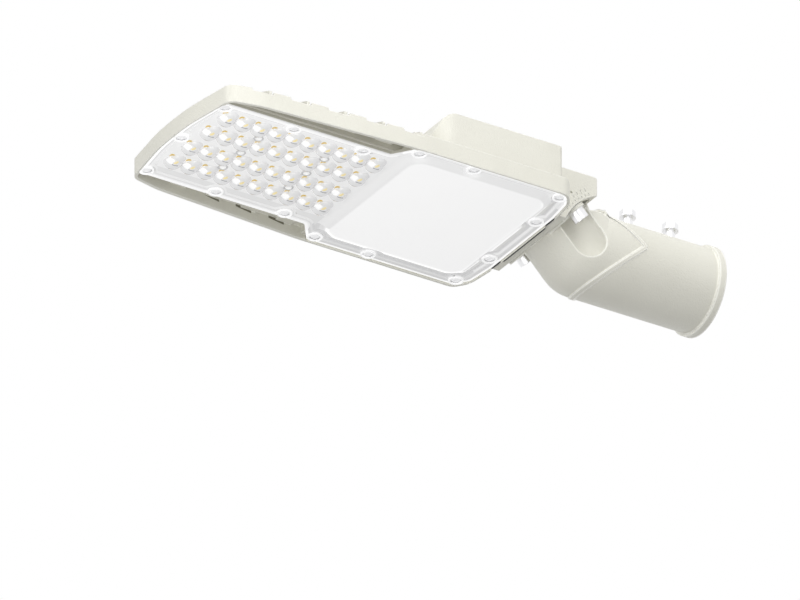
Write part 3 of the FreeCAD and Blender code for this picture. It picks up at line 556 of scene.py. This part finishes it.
# Painted shade: the field's outer strip beyond STRIP_Y on the +Y side takes the edge shade tone.
shaded_strip = [1 if i < strip_faces and all(verts[v][1] > STRIP_Y for v in face) else 0
         for i, face in enumerate(faces)]
field = new_piece("cover_field", verts, faces, [field_mat, edge_shade_mat], shaded_strip, down=True)

# The raised frosted panel over the driver bay, with its sloping sides
centre = Vector((-246.0, 0.0))
bay_edge = [(SPLIT, bay_run[0][1], FLOOR)] + bay_run + [(SPLIT, bay_run[-1][1], FLOOR)]
PANEL_Z = PLANE - 1.3
PANEL_XS = (-308.0, -184.0)
PANEL_HALF = 68.0
PANEL_CORNER = 12.0
panel_corners = [
    (PANEL_XS[0], -PANEL_HALF, PANEL_CORNER), (PANEL_XS[1], -PANEL_HALF, PANEL_CORNER),
    (PANEL_XS[1], PANEL_HALF, PANEL_CORNER), (PANEL_XS[0], PANEL_HALF, PANEL_CORNER),
]
panel_edge = sample(panel_corners, [24] * 4, [60] * 4)
panel_xy = [(p.x, p.y) for p in panel_edge]
ANGLES = 960
SLOPE_STEPS = 10
outer_star, inner_star = [], []
for i in range(ANGLES):
    a = 2 * math.pi * i / ANGLES
    outer_star.append(star(bay_edge, a, centre))
    inner_star.append(star(panel_xy, a, centre))
verts, faces = [], []
slope = []
for k in range(SLOPE_STEPS + 1):
    t = k / SLOPE_STEPS
    rise = 1 - (1 - t) ** 2 * (1 + 2 * t)
    slope.append([(*o.lerp(p, t), FLOOR + (PANEL_Z - FLOOR) * rise)
                  for o, p in zip(outer_star, inner_star)])
loft(slope, verts, faces)
# Painted light and shade on the sloping sides: on the near sides the outer rows take darker tones, then
# the plain slope tone, then a bright painted highlight by the panel edge.
SLOPE_MATS = [slope_mat, edge_shade_mat, soft_shade_mat, edge_highlight_mat]
NEAR_SLOPE = [2, 2, 2, 1, 1, 1, 0, 3, 3, 3]
NEAR_SLOPE_X, NEAR_SLOPE_Y = -182.0, 60.0
slope_tones = []
for i, face in enumerate(faces):
    x, y, _ = verts[face[0]]
    near = y > NEAR_SLOPE_Y or x > NEAR_SLOPE_X
    slope_tones.append(NEAR_SLOPE[i // ANGLES] if near else 0)
slope_piece = new_piece("cover_slope", verts, faces, SLOPE_MATS, slope_tones, smooth=60.0, down=True)

# Painted highlight: the panel's edge ring takes the bright edge tone on its +X and +Y sides.
PANEL_RING = 0.985
BRIGHT_X, BRIGHT_Y = -188.0, 64.0
verts = list(slope[-1])
verts += [(centre.x + (v[0] - centre.x) * PANEL_RING, centre.y + (v[1] - centre.y) * PANEL_RING, PANEL_Z)
          for v in slope[-1]]
faces = [(i, (i + 1) % ANGLES, ANGLES + (i + 1) % ANGLES, ANGLES + i) for i in range(ANGLES)]
bright = [1 if verts[i][0] > BRIGHT_X or verts[i][1] > BRIGHT_Y else 0 for i in range(ANGLES)] + [0]
faces.append(tuple(range(ANGLES, 2 * ANGLES)))
panel = new_piece("cover_panel", verts, faces, [panel_mat, edge_highlight_mat], bright, smooth=60.0, down=True)


LED_LIMIT_X = -330.0
LED_LIMIT = 64.3
BAY_LIMIT = 83.9


def inside_cover(x, y):
    """Keeps a boss within the cover's long edges."""
    limit = LED_LIMIT if x < LED_LIMIT_X else BAY_LIMIT
    return x, max(-limit, min(limit, y))


boss_profile = [
    (6.4, 1.9), (6.3, -0.4), (6.1, -0.75), (5.7, -0.9), (5.2, -0.88), (4.9, -0.7),
    (4.7, -0.3), (4.6, 1.6), (2.0, 1.6),
]
verts, faces = revolve(boss_profile, screws, 32, PLANE, inside_cover)
bosses = new_piece("cover_bosses", verts, faces, [boss_mat], smooth=50.0)

# Each lens is a main dome with one lower lobe beside it
DOME_H = 6.4
LOBE_SHIFT = (1.4, -5.6)
LOBE_R = 5.9
LOBE_H = 3.4
lens_places = [(x, y) for x in LENS_XS for y in LENS_YS]


def dome_profile(radius, height, steps):
    """Quarter ellipse from the tip of a dome out to its foot."""
    rows = [(0, -height)]
    for k in range(1, steps + 1):
        a = math.pi / 2 * k / steps
        rows.append((radius * math.sin(a), -height * math.cos(a)))
    return rows


verts, faces = revolve(dome_profile(LENS_R, DOME_H, 12), lens_places, SIDES, FLOOR)
lobes = [(x + LOBE_SHIFT[0], y + LOBE_SHIFT[1]) for x, y in lens_places]
more, more_faces = revolve(dome_profile(LOBE_R, LOBE_H, 8), lobes, 20, FLOOR)
faces += [tuple(i + len(verts) for i in face) for face in more_faces]
verts += more
lenses = new_piece("lens_domes", verts, faces, [dome_mat], smooth=40.0)

# Round windows over the screws of the LED board, their rings grey with painted shade
BOARD_SCREWS = [(x + OFFSET[0], y + OFFSET[1])
                for x in (-429.0, -368.2) for y in (-26.5, 0.0, 26.5)]
ring_profile = [(4.1, 0.3), (4.05, -0.5), (3.6, -0.9), (3.2, -0.8), (3.0, -0.1), (2.6, -0.1)]
verts, faces = revolve(ring_profile, BOARD_SCREWS, 24, FLOOR)
windows = new_piece("cover_windows", verts, faces, [groove_shade_mat], smooth=50.0)
head_profile = [(2.9, -0.05), (2.6, -0.5), (1.6, -0.75), (1.3, -0.3), (0, -0.25)]
verts, faces = revolve(head_profile, BOARD_SCREWS, 16, FLOOR)
window_screws = new_piece("cover_window_screws", verts, faces, [cover_mat], smooth=35.0)

# Painted reflection and refraction in each dome: a white patch for a lamp's reflection, yellow patches for
# the LED's images and a grey line of painted shade, as thin patches on its surface
SIGHT = Vector((-0.460, -0.736, -0.497)).normalized()
ACROSS = Vector((0.848, -0.530, 0.0)).normalized()
BELOW = ACROSS.cross(SIGHT).normalized()
LIGHT_OUTLINE = [
    (-5.0, -1.5), (-3.8, -2.6), (-2.4, -3.6), (-0.9, -4.3), (0.7, -3.4), (2.4, -2.2), (4.0, -0.6),
    (3.0, 0.2), (2.0, 1.2), (0.8, 2.7), (-0.9, 2.1), (-2.7, 0.8),
]
CHIP_OUTLINE = [
    (2.6, 2.0), (3.6, 0.9), (5.2, 0.3), (7.0, -0.4), (8.2, -0.5), (7.4, 1.4), (5.6, 2.4), (3.8, 2.6),
]
TOP_CHIP_OUTLINE = [
    (-1.8, -5.3), (-0.8, -6.9), (0.8, -7.6), (2.4, -7.6), (4.0, -6.8), (5.0, -5.5), (3.0, -5.7),
    (1.4, -6.0), (-0.2, -5.6),
]
SHADE_OUTLINE = [
    (0.8, 2.6), (2.6, 3.4), (5.2, 4.0), (7.2, 4.1), (6.8, 4.7), (4.8, 4.6), (2.4, 4.0), (0.8, 3.2),
]
GLINTS = [LIGHT_OUTLINE, CHIP_OUTLINE, TOP_CHIP_OUTLINE, SHADE_OUTLINE]
GLINT_MATS = [gleam_mat, phosphor_mat, phosphor_shade_mat, shade_mat]
GLINT_LIFT = 0.08
VIEW_WIDTH = 0.6284
PIXEL = VIEW_WIDTH / 800 / MM
GLINT_SHIFT = (-2.1, 0.5)


def on_dome(u, v):
    """Point on a dome at the origin that lies behind a place in the picture."""
    start = (ACROSS * (u + GLINT_SHIFT[0]) + BELOW * (v + GLINT_SHIFT[1])) * PIXEL
    stretch = LENS_R / DOME_H
    p = Vector((start.x, start.y, start.z * stretch))
    d = Vector((SIGHT.x, SIGHT.y, SIGHT.z * stretch))
    b = p.dot(d)
    under = b * b - d.length_squared * (p.length_squared - (LENS_R + GLINT_LIFT) ** 2)
    if under > 0:
        point = start + SIGHT * ((-b + math.sqrt(under)) / d.length_squared)
        if point.z < 0:
            return point
    return start + SIGHT * ((-GLINT_LIFT - start.z) / SIGHT.z)


verts, faces, kinds = [], [], []
for kind, outline in enumerate(GLINTS):
    middle = (sum(u for u, v in outline) / len(outline), sum(v for u, v in outline) / len(outline))
    rings = []
    for share in (1.0, 0.66, 0.33):
        rings.append([on_dome(middle[0] + (u - middle[0]) * share, middle[1] + (v - middle[1]) * share)
                      for u, v in outline])
    tip = on_dome(*middle)
    for turn in (1, -1):
        for cx, cy in lens_places:
            base = len(verts)
            n = len(outline)
            for point in [q for one in rings for q in one] + [tip]:
                verts.append((cx + point.x * turn, cy + point.y * turn, FLOOR + point.z))
            for i in range(n):
                j = (i + 1) % n
                for k in (0, n):
                    faces.append((base + k + i, base + k + j, base + k + n + j, base + k + n + i))
                faces.append((base + 2 * n + i, base + 2 * n + j, base + 3 * n))
                kinds += [kind] * 3
glints = new_piece("lens_glints", verts, faces, GLINT_MATS, kinds, smooth=60.0)

# Heads of the cover screws, with a drive recess
head_z = PLANE + 1.6
screw_profile = [
    (0, -1.4), (1.6, -1.4), (1.75, -2.0), (2.4, -1.95), (3.2, -1.6), (3.7, -0.9), (3.85, -0.2),
    (3.85, 0.0), (2.0, 0.0), (2.0, 3.0), (0, 3.0),
]
verts, faces = revolve(screw_profile, screws, 24, head_z)
screw_heads = new_piece("cover_screw_heads", verts, faces, [screw_mat], smooth=35.0)

# Thin casting edge round the cover's rear corners
CORNER_SECTION = (
    (-0.3, 7.6), (-0.3, -6.9), (-0.6, -7.3), (-1.3, -7.3), (-1.5, -6.9), (-1.5, 6.4), (-1.1, 7.3),
    (-0.3, 7.6),
)
CORNER_FROM_X, CORNER_FROM_Y = -186.0, 49.8
CORNER_CENTRE = (-190.0, 60.0)


def corner_edge(side):
    """Strip of rim that closes round one rear corner of the cover."""
    rows = []
    for distance, z in CORNER_SECTION:
        loop = [p for p in cover_loop(distance, z) if p[0] > CORNER_FROM_X and p[1] * side > CORNER_FROM_Y]
        rows.append(sorted(loop, key=lambda p: math.atan2(p[1] * side - CORNER_CENTRE[1],
                                                          p[0] - CORNER_CENTRE[0])))
    fewest = min(len(row) for row in rows)
    rows = [[row[round(i * (len(row) - 1) / (fewest - 1))] for i in range(fewest)] for row in rows]
    return rows, fewest


verts, faces = [], []
for side in (1, -1):
    rows, length = corner_edge(side)
    base = len(verts)
    for row in rows:
        verts += row
    for r in range(len(rows) - 1):
        for i in range(length - 1):
            a = base + r * length + i
            faces.append((a, a + 1, a + length + 1, a + length))
    for end in (0, length - 1):
        faces.append(tuple(base + r * length + end for r in range(len(rows) - 1)))
corner_strip = new_piece("rim_corners", verts, faces, [paint_mat], smooth=40.0)
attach(corner_strip, "head")

# Painted shade: a dark strip in the rubber colour, in the gap along the rear lip, in three lengths: X, Y
# and Z ranges
GAP_SHADE = [
    ((-165.4, -164.0), (-30.5, 30.5), (-7.2, -3.9)),
    ((-164.9, -163.9), (-48.2, -30.5), (-5.0, -3.9)),
    ((-164.9, -163.9), (30.5, 48.2), (-5.0, -3.9)),
]
verts, faces = [], []
for (x0, x1), (y0, y1), heights in GAP_SHADE:
    base = len(verts)
    for z in heights:
        verts += [(x0, y0, z), (x1, y0, z), (x1, y1, z), (x0, y1, z)]
    faces.append(tuple(base + i for i in range(4)))
    faces += [tuple(base + i for i in (k, (k + 1) % 4, 4 + (k + 1) % 4, 4 + k)) for k in range(4)]
gap_shade = new_piece("lip_gap_shade", verts, faces, [rubber_mat])
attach(gap_shade, "head")

# Painted shade: darker strips on the cover's seat wall and ledge, in the recess on either side of the LED
# section
SEAT_X = (-477.5, -318.5)
SEAT_Y = (64.7, 66.55)
SEAT_Z = (-2.7, 2.9)
verts, faces = [], []
for side in (1, -1):
    base = len(verts)
    for y, z in ((SEAT_Y[0], SEAT_Z[0]), (SEAT_Y[1], SEAT_Z[0]), (SEAT_Y[1], SEAT_Z[1])):
        verts += [(SEAT_X[0], y * side, z), (SEAT_X[1], y * side, z)]
    for row in (0, 2):
        quad = (base + row, base + row + 1, base + row + 3, base + row + 2)
        faces.append(quad[::-side])
seat_shade = new_piece("cover_seat_shade", verts, faces, [recess_shade_mat])
for poly in seat_shade.data.polygons:
    if poly.normal.z > 0.5 or poly.normal.y * poly.center.y < -1e-6:
        poly.flip()
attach(seat_shade, "head")

# Shadowed slots along the foot of the rim's long wall
SLOT_XS = ((-411.0, -398.0), (-382.0, -367.2), (-350.5, -335.8))
SLOT_ZS = (0.2, 2.9)
SLOT_TILT = 0.8
WALL_X, WALL_Y, WALL_SLANT = -411.0, 77.9, 0.0581
verts, faces = [], []
for side in (1, -1):
    for x0, x1 in SLOT_XS:
        base = len(verts)
        corners = (
            (x0, SLOT_ZS[1]), (x1, SLOT_ZS[1]), (x1, SLOT_ZS[0] - SLOT_TILT), (x0, SLOT_ZS[0] + SLOT_TILT),
        )
        for x, z in corners:
            verts.append((x, (WALL_Y + (x - WALL_X) * WALL_SLANT) * side, z))
        faces.append((base, base + 1, base + 2, base + 3)[::side])
slots = new_piece("rim_slots", verts, faces, [slot_mat])
for poly in slots.data.polygons:
    if poly.normal.y * poly.center.y > 0:
        poly.flip()
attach(slots, "head")

# Dark crescents under the screw heads, on the side away from the light
CRESCENT_R = 4.35
CRESCENT_START = -22.0
CRESCENT_SPAN = 160.0
CRESCENT_STEPS = 12
CRESCENT_DEPTH = 1.8
verts, faces = [], []
for x, y in screws:
    base = len(verts)
    for i in range(CRESCENT_STEPS + 1):
        turn = math.radians(CRESCENT_START + CRESCENT_SPAN * i / CRESCENT_STEPS)
        thick = CRESCENT_DEPTH * math.sin(math.pi * i / CRESCENT_STEPS) + 0.05
        for r in (CRESCENT_R, CRESCENT_R - thick):
            drop = 0.2 - 0.55 * (CRESCENT_R - r) / 1.7
            verts.append((x + r * math.cos(turn), y + r * math.sin(turn), PLANE + drop))
    for i in range(CRESCENT_STEPS):
        a = base + 2 * i
        faces.append((a, a + 2, a + 3, a + 1))
crescents = new_piece("boss_shadows", verts, faces, [shade_mat], down=True)

cover_pieces = (
    crescents, flange, field, slope_piece, panel, bosses, lenses, glints, windows, window_screws,
)
for piece in cover_pieces:
    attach(piece, "head")
    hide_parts("lens_cover")
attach(screw_heads, "head")
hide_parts("cover_screws")

# Stage and light


def seen_rays(nodes, links):
    """1 for rays that look, reflect or look through, 0 for those that carry light."""
    path = nodes.new("ShaderNodeLightPath")
    value = path.outputs["Is Camera Ray"]
    for name in ("Is Glossy Ray", "Is Transmission Ray"):
        either = nodes.new("ShaderNodeMath")
        either.operation = "MAXIMUM"
        links.new(value, either.inputs[0])
        links.new(path.outputs[name], either.inputs[1])
        value = either.outputs[0]
    return value


def pale(name, level):
    """Backdrop material: plain white to the eye, a given grey to the light."""
    mat = bpy.data.materials.new(name)
    mat.use_nodes = True
    nodes, links = mat.node_tree.nodes, mat.node_tree.links
    shader = nodes["Principled BSDF"]
    shader.inputs["Base Color"].default_value = (level, level, level, 1)
    shader.inputs["Roughness"].default_value = 0.9
    shader.inputs["Specular IOR Level"].default_value = 0.0
    glow = nodes.new("ShaderNodeEmission")
    mix = nodes.new("ShaderNodeMixShader")
    links.new(seen_rays(nodes, links), mix.inputs["Fac"])
    links.new(shader.outputs["BSDF"], mix.inputs[1])
    links.new(glow.outputs["Emission"], mix.inputs[2])
    links.new(mix.outputs["Shader"], nodes["Material Output"].inputs["Surface"])
    return mat


HALF = 6
BASE = -1.7
FLOOR_LEVEL = 0.62
WORLD_LEVEL = 0.68
floor_mesh = bpy.data.meshes.new("floor")
floor_corners = [(-HALF, -HALF, BASE), (HALF, -HALF, BASE), (HALF, HALF, BASE), (-HALF, HALF, BASE)]
floor_mesh.from_pydata(floor_corners, [], [(0, 1, 2, 3)])
floor = bpy.data.objects.new("floor", floor_mesh)
bpy.context.scene.collection.objects.link(floor)
floor_mesh.materials.append(pale("floor_white", FLOOR_LEVEL))

world = bpy.data.worlds.new("world")
bpy.context.scene.world = world
world.use_nodes = True
nodes, links = world.node_tree.nodes, world.node_tree.links
back = nodes["Background"]
level = nodes.new("ShaderNodeMapRange")
level.inputs["To Min"].default_value = WORLD_LEVEL
level.inputs["To Max"].default_value = 1.0
links.new(seen_rays(nodes, links), level.inputs["Value"])
links.new(level.outputs["Result"], back.inputs["Strength"])
back.inputs["Color"].default_value = (1, 1, 1, 1)

TARGET = Vector((-0.1995, 0.1281, -0.0051))
CAMERA_DISTANCE = 1.2


def lamp(name, offset, size, power, aim=TARGET):
    """Soft lamp at an offset in metres from the point it is aimed at."""
    light = bpy.data.lights.new(name, "AREA")
    light.shape = "RECTANGLE"
    light.size, light.size_y = size
    light.energy = power
    obj = bpy.data.objects.new(name, light)
    obj.location = aim + Vector(offset)
    obj.rotation_mode = "QUATERNION"
    obj.rotation_quaternion = (obj.location - aim).to_track_quat("Z", "Y")
    bpy.context.scene.collection.objects.link(obj)


lamp("key", (-0.4, -1.6, 0.35), (0.9, 0.9), 5.5)
lamp("top", (-0.22, -1.0, 1.3), (1.2, 0.8), 8.0)
lamp("front", (-1.6, -0.3, 0.7), (0.8, 0.8), 3.0)
lamp("under", (-0.45, -0.35, -0.45), (0.5, 0.4), 1.5, Vector((-0.36, 0.0, 0.0)))

cam_data = bpy.data.cameras.new("camera")
cam_data.type = "ORTHO"
cam_data.ortho_scale = VIEW_WIDTH
cam_data.clip_end = 10.0
cam = bpy.data.objects.new("camera", cam_data)
bpy.context.scene.collection.objects.link(cam)
cam.location = TARGET + SIGHT * CAMERA_DISTANCE
cam.rotation_mode = "QUATERNION"
cam.rotation_quaternion = SIGHT.to_track_quat("Z", "Y")
bpy.context.scene.camera = cam

bpy.context.scene.view_settings.view_transform = "Standard"
